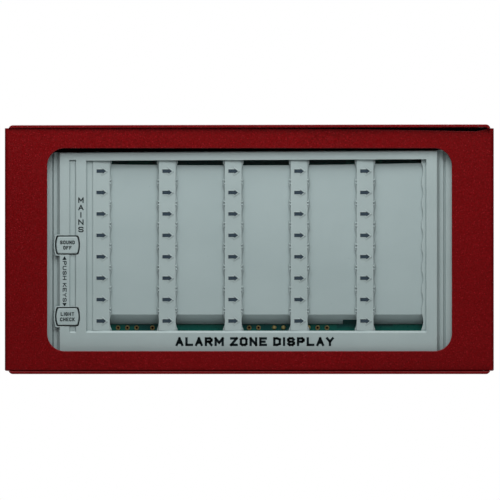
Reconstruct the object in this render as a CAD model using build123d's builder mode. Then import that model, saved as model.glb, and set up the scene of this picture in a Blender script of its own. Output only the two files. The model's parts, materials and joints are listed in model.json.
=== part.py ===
"""Wall-mounted fire alarm zone indicator panel.

A folded steel back box carries a circuit board behind a moulded fascia with five label windows
and forty arrow-shaped indicators. A folded steel cover with one big window snaps over the box and
pulls off forwards. Two push buttons work switches on the board.

Frame: X to the right, Z up, the wall plane at Y = 0 and the front facing -Y. Heights named here
are distances from the wall plane, so a height h lies at Y = -h. All lengths are millimetres.
"""

import os

from build123d import *

os.makedirs("parts", exist_ok=True)

# ---------------------------------------------------------------- driving dimensions
# Sheet metal
SHEET = 1.5
FOLD_RADIUS = 2.4
SOFT_EDGE = 0.35

# Back box
BOX_WIDTH = 262.6
BOX_TOP = 67.6
BOX_BOTTOM = -68.0
BOX_DEPTH = 44.5
TOP_RISE = 0.5  # the top wall is sprung up by this much at its right end
TAB_LENGTH = 15.0  # return tabs folded off the ends of the top and bottom walls
TAB_FRONT = 38.0
TAB_RELIEF = 1.0
SIDE_SETBACK = 2.2
RIM_SHRINK = 0.4  # rounded rims are this much tighter than the folds
KNOCKOUT_R = 11.1
KNOCKOUT_GROOVE = 0.5
KNOCKOUT_DEPTH = 0.35
KNOCKOUT_SPOTS = (-66.0, 66.0)
DIMPLE_R = 2.0
DIMPLE_HEIGHT = 0.4
DIMPLE_Z = 59.0
DIMPLE_AT = 14.0  # height above the wall

# Front cover
COVER_WIDTH = 266.7
COVER_TOP = 66.0
COVER_BOTTOM = -66.3
COVER_REAR = 1.0
COVER_FRONT_LEFT = 43.5
COVER_FRONT_RIGHT = 41.8
RETURN_REAR = 30.5
RETURN_HALF = 127.5
SAG_START = -27.0  # from here the cover's top edge curves down to the right
SAG_END = 124.0
SAG_DROP = 1.7
NOTCH_X = 131.1  # the top edge climbs back to the corner in a short diagonal
WINDOW_WIDTH = 220.6
WINDOW_HEIGHT = 110.6
WINDOW_CENTRE = (0.1, -0.2)
WINDOW_RADIUS = 9.5

# Heights of the stack above the wall
BOARD_BACK = 27.9
BOARD_FRONT = 29.5
GUARD_BACK = 33.4
GUARD_FRONT = 34.2
LABEL_FRONT = 35.7
STRIP_BACK = 34.4
BAR_BACK = 36.2
LIP_FRONT = 37.2
LENS_FRONT = 38.15
COLLAR_FRONT = 38.3
RAIL_BACK = 34.5
RAIL_FRONT = 36.7
FACE = 39.2

# Fascia
FASCIA_LEFT = -118.0
FASCIA_RIGHT = 117.6
FASCIA_BOTTOM = -61.5
FASCIA_TOP_LEFT = 52.9
FASCIA_TOP_RIGHT = 54.4
FACE_LEFT = -103.4
FACE_RIGHT = 102.3
STEP_RUN = 1.5
RAIL_GROOVES = ((-107.7, 0.8), (105.9, 1.5))  # left edge and width
RAIL_GROOVE_DEPTH = 1.0
PANE_LEFT = -89.1
PANE_RIGHT = 96.6
PANE_TOP_LEFT = 48.4
PANE_TOP_RIGHT = 49.2
PANE_BOTTOM = -44.5
PANE_BEVEL = 1.1
STRIP_FLOOR = 37.8
SLOT_LEFT = -98.3
SLOT_WIDTH = 3.7
SLOT_TOP = 48.8
SLOT_FLOOR = 38.3
FACE_EDGE = 1.2

# Arrow indicators
COLUMNS = 5
ROWS = 8
COLUMN_PITCH = 36.0
ROW_PITCH = 11.69
FIRST_COLUMN = -81.2
FIRST_ROW = 42.65
ARROW_TAIL = (3.35, 1.95)
ARROW_HEAD = (1.95, 3.0)
ARROW_BACKSET = 2.3
COLLAR_RIM = 0.85
COLLAR_TAPER = 20
BAR_SHIFT = 0.35  # bar centre line from arrow centre
BAR_HALF = 4.55
BAR_LEFT_HEIGHT = 38.3
BAR_RIGHT_HEIGHT = 37.8
BAR_CROWN = 0.1
LIP_REACH = 1.05
CUSP_GAP = 1.35
CUSP_NOTCH = 0.2
PIP_R = 0.6  # pairs of pips on each cusp grip a label's edge
PIP_HEIGHT = 1.0
PIP_TAPER = 25
PIP_INSET = 0.85
PIP_OFFSET = 0.85

LENS_GAP = 0.1
STRIP_WIDTH = 6.8
STRIP_END = 4.5
STRIP_CORNER = 1.0
LED_R = 1.5
LED_FLANGE_R = 1.9
LED_FLANGE_FRONT = 30.5
LED_FRONT = 33.6
GUARD_LEFT = -87.5
GUARD_RIGHT = 98.5
GUARD_TOP = (46.7, 45.9, 47.3)  # height of the top edge at left, at GUARD_DIP and at right
GUARD_DIP = -8.0
GUARD_FOLD = -35.6
GUARD_FOOT = -40.9
GUARD_FOOT_FRONT = 30.4
GUARD_SHEET = 0.8
GUARD_RIB_HALF = 3.4
GUARD_RIB_TOP = 46.0
LABEL_MARGIN = 0.5  # gap between the lens strips and the raised label beds
GUARD_NOTCH = (51.1, 63.5, -38.5)  # left, right and top of the notch in the lower edge

# Push buttons
BUTTON_X = -99.3
BUTTON_ROWS = {"silence": 2.3, "lamp_test": -36.8}
BUTTON_HOLE = (13.7, 10.5)
BUTTON_CAP = (12.2, 9.2)
BUTTON_BULGE = 0.9
BUTTON_COLLAR = 0.5
BUTTON_FLANGE = (15.0, 11.8)
CAP_FRONT = 39.4
CAP_DOME = 0.5
SWITCH_SIDE = 6.2
SWITCH_FRONT = 31.7
PLUNGER_R = 1.7
PLUNGER_FRONT = 32.7
PLUNGER_BACK = 31.1
PLUNGER_POCKET = 30.1
SWITCH_CORNER = 0.5
CAP_BOSS = (0.4, 1.0)  # added to the plunger's radius, and its height
FLANGE_BACK = 33.2
FLANGE_FRONT = 34.2
CAP_BACK = 33.6
RUNNING_GAP = 0.08

# Circuit board and its fixings
BOARD_LEFT = -109.0
BOARD_RIGHT = 108.0
BOARD_TOP = 51.0
BOARD_BOTTOM = -58.0
BOARD_SCREW_LENGTH = 6.0
FASCIA_SCREW_LENGTH = 8.0
BOARD_SCREWS = ((-105.5, 45.0), (103.5, 45.0), (-105.5, -53.0), (0.0, -53.0), (103.5, -53.0))
BOSS_R = 3.0
STANDOFFS = ((-114.4, 47.0), (113.8, 47.0), (-114.4, -55.0), (113.8, -55.0))
STANDOFF_R = 3.0
SPIGOT_R = 2.0
STANDOFF_THREAD = 12.0
M3_R = 1.5
M4_R = 2.0
PAD_ROW = -42.95
PAD_PITCH = 5.08
PAD_GROUPS = (-71.9, -53.1, -5.2, 13.6, 32.3)
PAD_R = 1.3
PAD_HOLE_R = 0.58
PAD_THICKNESS = 0.12
SOLDERED = ((3, 0), (3, 1), (3, 2), (4, 0))  # pad group and place in it of each soldered pin
SOLDER_HEIGHT = 0.6
SOLDER_TAPER = 50

# Wall fixing
WALL_HOLE_X = 203.2
WALL_HOLE_Z = 83.3
WALL_HOLE_R = 2.5
CABLE_ENTRY = (0.0, 22.0)
BUSHING_R = 11.1
BUSHING_BORE = 9.0
BUSHING_FLANGE_R = 13.5
BUSHING_FRONT = 3.2
EARTH_POINT = (-88.0, -50.0)
EARTH_STUD_FRONT = 14.0
STUD_TIP = 0.5
BUSHING_EDGE = 0.8
M4_NUT = (7.0, 3.2)  # across flats and height
M4_WASHER = (4.5, 0.8)  # outer radius and thickness
THREAD_GAP = 0.05
SCREW_HEAD_R = 2.8
SCREW_HEAD = 1.9
SCREW_RECESS = (0.8, 3.2, 1.0)  # cross recess: arm width, span and depth
HOLE_CLEARANCE = 0.2  # of a screw's hole, on the radius

# Parts on the back of the circuit board: centre (x, z), then size along X, Z and away from the board
DRIVER_CHIPS = [(x, 12.0) for x in (-81.2, -45.2, -9.2, 26.8, 62.8)]
DRIVER_SIZE = (7.5, 10.3, 2.4)
DRIVER_LEADS = 8
RESISTOR_SPOTS = [(x + 8.5, 12.0) for x in (-81.2, -45.2, -9.2, 26.8, 62.8)]
RESISTOR_SIZE = (2.5, 22.0, 5.0)
RESISTOR_CORNER = 0.6
RESISTOR_CROWN = 0.5
CONTROLLER = (8.8, -16.0)
CONTROLLER_SIZE = (17.0, 17.0, 3.4)
CONTROLLER_LEADS = 11
PACKAGE_GAP = 0.15  # between a moulded package and the board
LEAD_SHARE = 0.86  # share of a package's side that its leads take up
LEAD_WIDTH = 0.5
LEAD_REACH = 1.2
CRYSTAL = (28.0, -16.0)
CRYSTAL_SIZE = (4.6, 11.2, 3.6)
CRYSTAL_FLANGE = (0.9, 0.4)  # added to its width and length, and its thickness
CAN_EDGE = 0.6
REGULATOR = (70.0, -44.0)
REGULATOR_SIZE = (10.2, 9.0, 4.5)
REGULATOR_TAB = (10.2, 6.4, 1.3)
CAPACITORS = ((52.0, -45.0), (86.0, -44.0), (86.0, -30.0))
CAPACITOR_R = 5.0
CAPACITOR_BACK = 14.5
CAPACITOR_GROOVE = (1.6, 0.7, 0.35)  # distance from the board, width and depth
CAPACITOR_EDGE = 0.8
SOUNDER = (-60.0, -22.0)
SOUNDER_R = 11.5
SOUNDER_WALL = 1.2
SOUNDER_BACK = 18.5
SOUNDER_HOLE_R = 1.6
SOUNDER_EDGE = 0.8
SOUNDER_DISC_R = 9.6
SOUNDER_DISC = (21.5, 0.3)  # height and thickness
TERMINAL_SIZE = (8.2, 10.2)  # depth along Z, height off the board
TERMINAL_BLOCKS = {"power": (PAD_GROUPS[3], PAD_ROW, 3), "data": (34.0, -27.0, 4)}  # first way, ways
TERMINAL_MOUTH = (3.6, 4.2)
TERMINAL_SCREW_R = 1.9
TERMINAL_MOUTH_DEPTH = 5.74
TERMINAL_BEVEL = 1.2
WIRE_LEVEL = 3.6  # height of a wire's centre off the board
TERMINAL_SCREW = (5.8, 8.8)  # heights of its two ends off the board
HEADER = (-30.0, -20.0)
HEADER_WAYS = 4
HEADER_PITCH = 2.54
HEADER_BODY = 2.5
HEADER_PIN = 0.64
HEADER_BACK = 19.4
JUMPER_GAP = 0.1
JUMPER_CORNER = 0.3
JUMPER_WAYS = (0, 2)

column_x = [FIRST_COLUMN + COLUMN_PITCH * i for i in range(COLUMNS)]
row_z = [FIRST_ROW - ROW_PITCH * i for i in range(ROWS)]
arrow_spots = [(x, z) for x in column_x for z in row_z]


# ---------------------------------------------------------------- planes
def front(height):
    """Sketch plane seen from the front: local axes are X and Z, extruding towards the viewer."""
    return Plane.XZ.offset(height)


def from_top(z):
    """Sketch plane seen in plan: local axes are X and height above the wall, extruding down."""
    return Plane(origin=(0, 0, z), x_dir=(1, 0, 0), z_dir=(0, 0, -1))


def from_side(x):
    """Sketch plane seen in section: local axes are height above the wall and Z, extruding to -X."""
    return Plane(origin=(x, 0, 0), x_dir=(0, -1, 0), z_dir=(-1, 0, 0))


# ---------------------------------------------------------------- back box
def box_outline(inset):
    """Outline of the back box from the front, moved inwards by inset."""
    half = BOX_WIDTH / 2 - inset
    with BuildSketch() as outline:
        Polygon(
            (-half, BOX_BOTTOM + inset),
            (half, BOX_BOTTOM + inset),
            (half, BOX_TOP + TOP_RISE - inset),
            (-half, BOX_TOP - inset),
            align=None,
        )
        fillet(outline.vertices(), FOLD_RADIUS - inset)
    return outline.sketch


outer_outline = box_outline(0)
inner_outline = box_outline(SHEET)

with BuildPart() as back_box:
    with BuildSketch(front(0)):
        add(outer_outline)
    extrude(amount=BOX_DEPTH)
    fillet(back_box.edges().group_by(Axis.Y)[-1], FOLD_RADIUS - RIM_SHRINK)
    with BuildSketch(front(SHEET)):
        add(inner_outline)
    extrude(amount=BOX_DEPTH, mode=Mode.SUBTRACT)
    # The side walls are only the return tabs at top and bottom.
    with BuildSketch(front(0)):
        with GridLocations(BOX_WIDTH, 0, 2, 1):
            Rectangle(2 * SIDE_SETBACK, BOX_TOP - BOX_BOTTOM - 2 * TAB_LENGTH)
    extrude(amount=BOX_DEPTH, mode=Mode.SUBTRACT)
    # The tabs stop short of the cover's front plate.
    with BuildSketch(front(TAB_FRONT)):
        with Locations((0, (COVER_TOP + COVER_BOTTOM) / 2)):
            Rectangle(2 * BOX_WIDTH, COVER_TOP - COVER_BOTTOM + 2 * RUNNING_GAP)
    extrude(amount=BOX_DEPTH, mode=Mode.SUBTRACT)
    # Relief slots let the tabs fold clear of the back plate.
    with BuildSketch(front(SHEET)):
        Rectangle(2 * BOX_WIDTH, 2 * (COVER_TOP - FOLD_RADIUS))
    extrude(amount=TAB_RELIEF, mode=Mode.SUBTRACT)
    with BuildSketch(front(0)):
        with GridLocations(WALL_HOLE_X, WALL_HOLE_Z, 2, 2):
            Circle(WALL_HOLE_R)
        with Locations(CABLE_ENTRY):
            Circle(BUSHING_R)
        with Locations(*STANDOFFS):
            Circle(SPIGOT_R)
        with Locations(EARTH_POINT):
            Circle(M4_R)
    extrude(amount=SHEET, mode=Mode.SUBTRACT)
    # Scored rings mark the conduit knockouts in the bottom wall.
    with BuildSketch(Plane.XY.offset(BOX_BOTTOM)):
        with Locations(*[(x, -BOX_DEPTH / 2) for x in KNOCKOUT_SPOTS]):
            Circle(KNOCKOUT_R)
            Circle(KNOCKOUT_R - KNOCKOUT_GROOVE, mode=Mode.SUBTRACT)
    extrude(amount=KNOCKOUT_DEPTH, mode=Mode.SUBTRACT)
    # Dimples on the tabs hold the cover by spring pressure.
    with BuildSketch(from_side(-BOX_WIDTH / 2)):
        with Locations((DIMPLE_AT, DIMPLE_Z), (DIMPLE_AT, -DIMPLE_Z)):
            Circle(DIMPLE_R)
    extrude(amount=DIMPLE_HEIGHT, taper=45)
    with BuildSketch(Plane.YZ.offset(BOX_WIDTH / 2)):
        with Locations((-DIMPLE_AT, DIMPLE_Z), (-DIMPLE_AT, -DIMPLE_Z)):
            Circle(DIMPLE_R)
    extrude(amount=DIMPLE_HEIGHT, taper=45)
    wall_rims = back_box.edges().group_by(Axis.Y)[0].filter_by(lambda e: e.length > BOX_WIDTH / 2)
    fillet(wall_rims, SOFT_EDGE)
back_box.part.label = "back_box"
export_step(back_box.part, "parts/back_box.step")


# ---------------------------------------------------------------- front cover
cover_half = COVER_WIDTH / 2
sag_middle = (SAG_START + (SAG_END - SAG_START) / 2, COVER_TOP - SAG_DROP / 4)
sag_foot = (SAG_END, COVER_TOP - SAG_DROP)

with BuildPart() as front_cover:
    # Front plate and two deep side flanges: one U-shaped section.
    with BuildSketch(from_top(COVER_TOP)) as cover_section:
        Polygon(
            (-cover_half, COVER_REAR),
            (-cover_half, COVER_FRONT_LEFT),
            (cover_half, COVER_FRONT_RIGHT),
            (cover_half, COVER_REAR),
            align=None,
        )
        fillet(cover_section.vertices().sort_by(Axis.Y)[-2:], FOLD_RADIUS - RIM_SHRINK)
        Polygon(
            (SHEET - cover_half, 0),
            (SHEET - cover_half, COVER_FRONT_LEFT - SHEET),
            (cover_half - SHEET, COVER_FRONT_RIGHT - SHEET),
            (cover_half - SHEET, 0),
            align=None,
            mode=Mode.SUBTRACT,
        )
    extrude(amount=COVER_TOP - COVER_BOTTOM)
    # The top edge sags to the right and climbs back to the corner.
    with BuildSketch(front(RETURN_REAR)):
        with BuildLine():
            ThreePointArc((SAG_START, COVER_TOP), sag_middle, sag_foot)
            Polyline(
                sag_foot,
                (NOTCH_X, COVER_TOP),
                (NOTCH_X, COVER_TOP + SHEET),
                (SAG_START, COVER_TOP + SHEET),
                (SAG_START, COVER_TOP),
            )
        make_face()
    extrude(amount=BOX_DEPTH, mode=Mode.SUBTRACT)
    # Short return flanges at top and bottom lie inside the box walls.
    with BuildSketch(front(RETURN_REAR)):
        with BuildLine():
            Line((-RETURN_HALF, COVER_TOP), (SAG_START, COVER_TOP))
            ThreePointArc((SAG_START, COVER_TOP), sag_middle, sag_foot)
            Line(sag_foot, (SAG_END, sag_foot[1] - SHEET))
            ThreePointArc(
                (SAG_END, sag_foot[1] - SHEET),
                (sag_middle[0], sag_middle[1] - SHEET),
                (SAG_START, COVER_TOP - SHEET),
            )
            Line((SAG_START, COVER_TOP - SHEET), (-RETURN_HALF, COVER_TOP - SHEET))
            Line((-RETURN_HALF, COVER_TOP - SHEET), (-RETURN_HALF, COVER_TOP))
        make_face()
        with Locations((0, COVER_BOTTOM + SHEET / 2)):
            Rectangle(2 * RETURN_HALF, SHEET)
    extrude(amount=COVER_FRONT_LEFT - RETURN_REAR)
    with BuildSketch(from_top(COVER_TOP + 1)):
        Polygon(
            (-cover_half, COVER_FRONT_LEFT),
            (-cover_half, 2 * BOX_DEPTH),
            (cover_half, 2 * BOX_DEPTH),
            (cover_half, COVER_FRONT_RIGHT),
            align=None,
        )
    extrude(amount=COVER_TOP - COVER_BOTTOM + 2, mode=Mode.SUBTRACT)
    with BuildSketch(front(RETURN_REAR)):
        with Locations(WINDOW_CENTRE):
            RectangleRounded(WINDOW_WIDTH, WINDOW_HEIGHT, WINDOW_RADIUS)
    extrude(amount=BOX_DEPTH, mode=Mode.SUBTRACT)
    # Seats for the box's dimples on the inner faces of the side flanges.
    with BuildSketch(from_side(SHEET - cover_half)):
        with Locations((DIMPLE_AT, DIMPLE_Z), (DIMPLE_AT, -DIMPLE_Z)):
            Circle(DIMPLE_R)
    extrude(amount=DIMPLE_HEIGHT, mode=Mode.SUBTRACT)
    with BuildSketch(Plane.YZ.offset(cover_half - SHEET)):
        with Locations((-DIMPLE_AT, DIMPLE_Z), (-DIMPLE_AT, -DIMPLE_Z)):
            Circle(DIMPLE_R)
    extrude(amount=DIMPLE_HEIGHT, mode=Mode.SUBTRACT)
    plate_front = front_cover.faces().sort_by(SortBy.AREA)[-2:].sort_by(Axis.Y)[0]
    fillet(plate_front.inner_wires()[0].edges(), SOFT_EDGE)
    plate_front = front_cover.faces().sort_by(SortBy.AREA)[-2:].sort_by(Axis.Y)[0]
    fold_edges = plate_front.outer_wire().edges().filter_by(lambda e: e.length > cover_half / 2)
    fillet(fold_edges.group_by(Axis.Z)[0], 2 * SOFT_EDGE)
front_cover.part.label = "front_cover"
export_step(front_cover.part, "parts/front_cover.step")


# ---------------------------------------------------------------- fascia
def arrow(grow=0.0):
    """Arrow-shaped face pointing to +X, its centroid near the origin, widened by grow."""
    tail, tail_width = ARROW_TAIL
    head, head_width = ARROW_HEAD
    with BuildSketch() as shape:
        with BuildLine():
            Polyline(
                (-ARROW_BACKSET, tail_width / 2),
                (tail - ARROW_BACKSET, tail_width / 2),
                (tail - ARROW_BACKSET, head_width / 2),
                (tail + head - ARROW_BACKSET, 0),
                (tail - ARROW_BACKSET, -head_width / 2),
                (tail - ARROW_BACKSET, -tail_width / 2),
                (-ARROW_BACKSET, -tail_width / 2),
                close=True,
            )
        make_face()
        if grow:
            offset(amount=grow, kind=Kind.INTERSECTION)
    return shape.sketch


def scallop(x, reach):
    """Points and arcs of one wavy edge, drawn downwards: it bows in by reach beside each arrow."""
    half_cell = ROW_PITCH / 2 - CUSP_GAP
    step = CUSP_NOTCH if reach > 0 else -CUSP_NOTCH
    for index, z in enumerate(row_z):
        if index:
            notch_top = z + ROW_PITCH - half_cell
            Polyline(
                (x, notch_top),
                (x - step, notch_top - abs(step)),
                (x - step, z + half_cell + abs(step)),
                (x, z + half_cell),
            )
        ThreePointArc((x, z + half_cell), (x - reach, z), (x, z - half_cell))


def lip(left, right, wavy_left, wavy_right):
    """Face of a bar's thin lip between two edges, either of which may be wavy."""
    top = row_z[0] + ROW_PITCH / 2 - CUSP_GAP
    bottom = row_z[-1] - ROW_PITCH / 2 + CUSP_GAP
    above = PANE_TOP_RIGHT + 1
    below = PANE_BOTTOM - 1
    with BuildSketch() as shape:
        with BuildLine():
            Polyline((left, top), (left, above), (right, above), (right, top))
            Polyline((left, bottom), (left, below), (right, below), (right, bottom))
            if wavy_right:
                scallop(right, LIP_REACH)
            else:
                Line((right, top), (right, bottom))
            if wavy_left:
                scallop(left, -LIP_REACH)
            else:
                Line((left, top), (left, bottom))
        make_face()
    return shape.sketch


def barrel(size, bulge):
    """Button outline: flat top and bottom, bulging sides and small corners."""
    width, height = size
    with BuildSketch() as shape:
        with BuildLine():
            Line((bulge - width / 2, height / 2), (width / 2 - bulge, height / 2))
            ThreePointArc((width / 2 - bulge, height / 2), (width / 2, 0), (width / 2 - bulge, -height / 2))
            Line((width / 2 - bulge, -height / 2), (bulge - width / 2, -height / 2))
            ThreePointArc((bulge - width / 2, -height / 2), (-width / 2, 0), (bulge - width / 2, height / 2))
        make_face()
        fillet(shape.vertices(), bulge)
    return shape.sketch


bar_lips = []
for index, x in enumerate(column_x):
    outer = BAR_HALF + LIP_REACH
    left = x + BAR_SHIFT - (outer if index else BAR_HALF)
    bar_lips.append(lip(left, x + BAR_SHIFT + outer, bool(index), True))
bar_lips.append(lip(PANE_RIGHT - LIP_REACH - 1.6, PANE_RIGHT + 1, True, False))

lip_edge = BAR_HALF + LIP_REACH - PIP_INSET
pip_columns = [x + BAR_SHIFT + lip_edge for x in column_x]
pip_columns += [x + BAR_SHIFT - lip_edge for x in column_x[1:]]
cusp_z = [z - ROW_PITCH / 2 for z in row_z[:-1]]
pip_spots = [(x, z + side * PIP_OFFSET) for x in pip_columns for z in cusp_z for side in (-1, 1)]

button_spots = [(BUTTON_X, z) for z in BUTTON_ROWS.values()]
button_hole = barrel(BUTTON_HOLE, BUTTON_BULGE)
button_collar = barrel([side + 2 * BUTTON_COLLAR for side in BUTTON_HOLE], BUTTON_BULGE)

with BuildPart() as fascia:
    # One moulded section: low side rails with a groove each, sloping up to the raised face.
    with BuildSketch(from_top(FASCIA_TOP_RIGHT + 1)):
        Polygon(
            (FASCIA_LEFT, RAIL_BACK),
            (FASCIA_LEFT, RAIL_FRONT),
            (FACE_LEFT - STEP_RUN, RAIL_FRONT),
            (FACE_LEFT, FACE),
            (FACE_RIGHT, FACE),
            (FACE_RIGHT + STEP_RUN, RAIL_FRONT),
            (FASCIA_RIGHT, RAIL_FRONT),
            (FASCIA_RIGHT, RAIL_BACK),
            align=None,
        )
        for groove_left, groove_width in RAIL_GROOVES:
            with Locations((groove_left, RAIL_FRONT)):
                Rectangle(
                    groove_width,
                    2 * RAIL_GROOVE_DEPTH,
                    align=(Align.MIN, Align.CENTER),
                    mode=Mode.SUBTRACT,
                )
    extrude(amount=FASCIA_TOP_RIGHT + 1 - FASCIA_BOTTOM)
    # The top edge rises slightly to the right.
    with BuildSketch(front(RAIL_BACK)):
        Polygon(
            (FASCIA_LEFT, FASCIA_TOP_LEFT),
            (FASCIA_RIGHT, FASCIA_TOP_RIGHT),
            (FASCIA_RIGHT, FASCIA_TOP_RIGHT + 9),
            (FASCIA_LEFT, FASCIA_TOP_RIGHT + 9),
            align=None,
        )
    extrude(amount=FACE, mode=Mode.SUBTRACT)
    fascia_face = fascia.faces().filter_by(Axis.Y).sort_by(Axis.Y)[0]
    fillet(fascia_face.edges().sort_by(Axis.Z)[-1], FACE_EDGE)
    # Raised collars round the two button holes.
    with BuildSketch(front(RAIL_BACK)):
        with Locations(*button_spots):
            add(button_collar)
    extrude(amount=FACE - RAIL_BACK)
    with BuildSketch(front(SLOT_FLOOR)):
        with Locations((SLOT_LEFT, PANE_BOTTOM)):
            Rectangle(SLOT_WIDTH, SLOT_TOP - PANE_BOTTOM, align=(Align.MIN, Align.MIN))
    extrude(amount=FACE, mode=Mode.SUBTRACT)
    # The pane holding the label windows, with a bevelled lower edge.
    with BuildSketch(front(RAIL_BACK)):
        Polygon(
            (PANE_LEFT, PANE_BOTTOM),
            (PANE_RIGHT, PANE_BOTTOM),
            (PANE_RIGHT, PANE_TOP_RIGHT),
            (PANE_LEFT, PANE_TOP_LEFT),
            align=None,
        )
    extrude(amount=FACE, mode=Mode.SUBTRACT)
    for bevel_left, bevel_right in ((PANE_LEFT, PANE_RIGHT), (SLOT_LEFT, SLOT_LEFT + SLOT_WIDTH)):
        with BuildSketch(from_side(bevel_right)):
            Polygon(
                (FACE - PANE_BEVEL, PANE_BOTTOM),
                (FACE + 1, PANE_BOTTOM),
                (FACE + 1, PANE_BOTTOM - PANE_BEVEL),
                (FACE, PANE_BOTTOM - PANE_BEVEL),
                align=None,
            )
        extrude(amount=bevel_right - bevel_left, mode=Mode.SUBTRACT)
    with BuildSketch(front(RAIL_BACK)):
        with Locations(*button_spots):
            add(button_hole)
    extrude(amount=FACE, mode=Mode.SUBTRACT)
    # Floor of the narrow strip to the left of the first bar.
    with BuildSketch(front(RAIL_BACK)):
        Polygon(
            (PANE_LEFT, PANE_BOTTOM),
            (column_x[0] - BAR_HALF + 1, PANE_BOTTOM),
            (column_x[0] - BAR_HALF + 1, PANE_TOP_LEFT + 0.5),
            (PANE_LEFT, PANE_TOP_LEFT + 0.5),
            align=None,
        )
    extrude(amount=STRIP_FLOOR - RAIL_BACK)
    # Bars with a crowned front that falls away to the right.
    with BuildSketch(from_top(PANE_TOP_RIGHT + 0.5)):
        for x in column_x:
            bar_left = x + BAR_SHIFT - BAR_HALF
            bar_right = x + BAR_SHIFT + BAR_HALF
            crown = (BAR_LEFT_HEIGHT + BAR_RIGHT_HEIGHT) / 2 + BAR_CROWN
            with BuildLine():
                Polyline(
                    (bar_left, BAR_LEFT_HEIGHT),
                    (bar_left, BAR_BACK),
                    (bar_right, BAR_BACK),
                    (bar_right, BAR_RIGHT_HEIGHT),
                )
                ThreePointArc(
                    (bar_left, BAR_LEFT_HEIGHT), (x + BAR_SHIFT, crown), (bar_right, BAR_RIGHT_HEIGHT)
                )
            make_face()
    extrude(amount=PANE_TOP_RIGHT - PANE_BOTTOM + 0.5)
    with BuildSketch(front(BAR_BACK)):
        for bar_lip in bar_lips:
            add(bar_lip)
    extrude(amount=LIP_FRONT - BAR_BACK)
    with BuildSketch(front(LIP_FRONT)):
        with Locations(*pip_spots):
            Circle(PIP_R)
    extrude(amount=PIP_HEIGHT, taper=PIP_TAPER)
    # Arrow-shaped collars and holes.
    with BuildSketch(front(LIP_FRONT)):
        with Locations(*arrow_spots):
            add(arrow(COLLAR_RIM))
    extrude(amount=COLLAR_FRONT - LIP_FRONT, taper=COLLAR_TAPER)
    with BuildSketch(front(BAR_BACK - 1)):
        with Locations(*arrow_spots):
            add(arrow())
    extrude(amount=FACE, mode=Mode.SUBTRACT)
    # Screw bosses reach back to the circuit board; the standoff screws pass through the rails.
    with BuildSketch(front(BOARD_FRONT)):
        with Locations(*BOARD_SCREWS):
            Circle(BOSS_R)
    extrude(amount=RAIL_BACK - BOARD_FRONT)
    with BuildSketch(front(BOARD_FRONT)):
        with Locations(*BOARD_SCREWS):
            Circle(M3_R)
    extrude(amount=RAIL_BACK - BOARD_FRONT + 1, mode=Mode.SUBTRACT)
    with BuildSketch(front(RAIL_BACK)):
        with Locations(*STANDOFFS):
            Circle(M3_R + HOLE_CLEARANCE / 2)
    extrude(amount=FACE, mode=Mode.SUBTRACT)
fascia.part.label = "fascia"
export_step(fascia.part, "parts/fascia.step")


# ---------------------------------------------------------------- indicators
for number, x in enumerate(column_x, start=1):
    # Clear strip behind one bar, with an arrow-shaped lens in each of the bar's holes.
    with BuildPart() as lens_strip:
        with BuildSketch(front(STRIP_BACK)):
            with Locations((x + BAR_SHIFT, (row_z[0] + row_z[-1]) / 2)):
                RectangleRounded(STRIP_WIDTH, row_z[0] - row_z[-1] + STRIP_END * 2, STRIP_CORNER)
        extrude(amount=BAR_BACK - STRIP_BACK)
        with BuildSketch(front(BAR_BACK)):
            with Locations(*[(x, z) for z in row_z]):
                add(arrow(-LENS_GAP))
        extrude(amount=LENS_FRONT - BAR_BACK)
    lens_strip.part.label = f"arrow_lens_strip_{number}"
    export_step(lens_strip.part, f"parts/arrow_lens_strip_{number}.step")

    # Eight round lamps on the board, each a flanged body with a domed end.
    with BuildPart() as zone_leds:
        with BuildSketch(front(BOARD_FRONT)):
            with Locations(*[(x, z) for z in row_z]):
                Circle(LED_R)
        extrude(amount=LED_FRONT - BOARD_FRONT)
        fillet(zone_leds.edges().group_by(Axis.Y)[0], LED_R - 0.1)
        with BuildSketch(front(BOARD_FRONT)):
            with Locations(*[(x, z) for z in row_z]):
                Circle(LED_FLANGE_R)
        extrude(amount=LED_FLANGE_FRONT - BOARD_FRONT)
    zone_leds.part.label = f"zone_leds_{number}"
    export_step(zone_leds.part, f"parts/zone_leds_{number}.step")

# Moulded backing for the label windows: a raised bed behind each window, a foot that folds back to
# the board, and ribs between the lamps that keep each column's light to its own strip.
strip_edge = BAR_SHIFT + STRIP_WIDTH / 2 + LABEL_MARGIN
bed_left = [x + strip_edge for x in column_x]
bed_right = [x + 2 * BAR_SHIFT - strip_edge for x in column_x[1:]] + [PANE_RIGHT - LABEL_MARGIN]

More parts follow.
